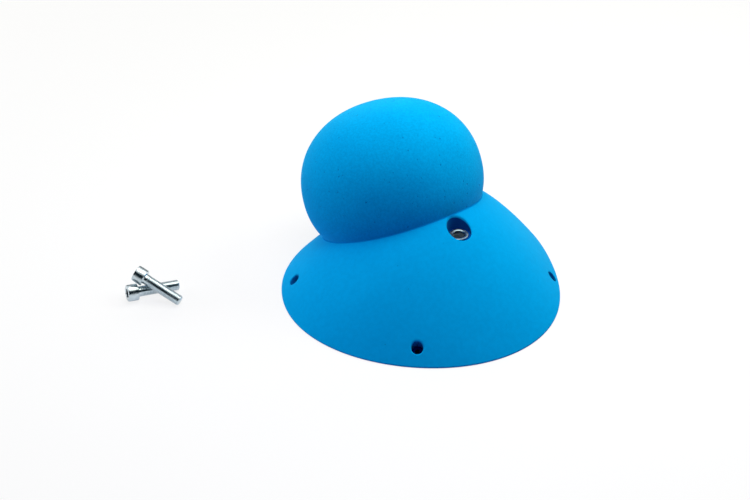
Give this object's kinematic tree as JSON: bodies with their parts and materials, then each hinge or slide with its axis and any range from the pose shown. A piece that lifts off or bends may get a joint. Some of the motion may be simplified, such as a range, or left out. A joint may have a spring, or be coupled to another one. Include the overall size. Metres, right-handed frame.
{
  "type": "climbing volume",
  "caption": "Blue laminate climbing volume: a low rounded base lobe with a ball lobe leaning out of its back left side, hollow behind, with its two fixing bolts lying beside it",
  "frame": {"origin": "middle of the flat back face, on the plane of the wall", "axes": "+Z points away from the wall, +X to the right and -Y towards the viewer as the picture shows the volume lying on its back"},
  "size_m": [0.4089, 0.2748, 0.1636],
  "materials": {
    "dome_laminate": "smooth satin blue gelcoat",
    "ball_laminate": "matte blue gelcoat with a fine gripping grain",
    "filler": "matte blue filler",
    "sleeve_laminate": "rough dark blue laminate",
    "washer_steel": "bright zinc plate",
    "plywood": "raw birch plywood",
    "zinc_steel": "bright zinc plate"
  },
  "bodies": {
    "volume": {"dome_shell": "dome_laminate", "ball_shell": "ball_laminate", "crease_fillet": "filler", "front_bolt_sleeve": "sleeve_laminate", "rear_bolt_sleeve": "sleeve_laminate", "front_bolt_washer": "washer_steel", "rear_bolt_washer": "washer_steel", "backing_ring": "plywood", "lengthwise_rib": "plywood", "crosswise_rib": "plywood"},
    "bolt_low": {"lower_bolt": "zinc_steel"},
    "bolt_high": {"upper_bolt": "zinc_steel"}
  },
  "joints": [
    {"name": "lower_bolt_lift", "type": "slide", "parent": "volume", "child": "bolt_low", "axis": [0, 0, 1], "range_m": [0, 0.1]},
    {"name": "upper_bolt_lift", "type": "slide", "parent": "bolt_low", "child": "bolt_high", "axis": [0, 0, 1], "range_m": [0, 0.1]}
  ]
}
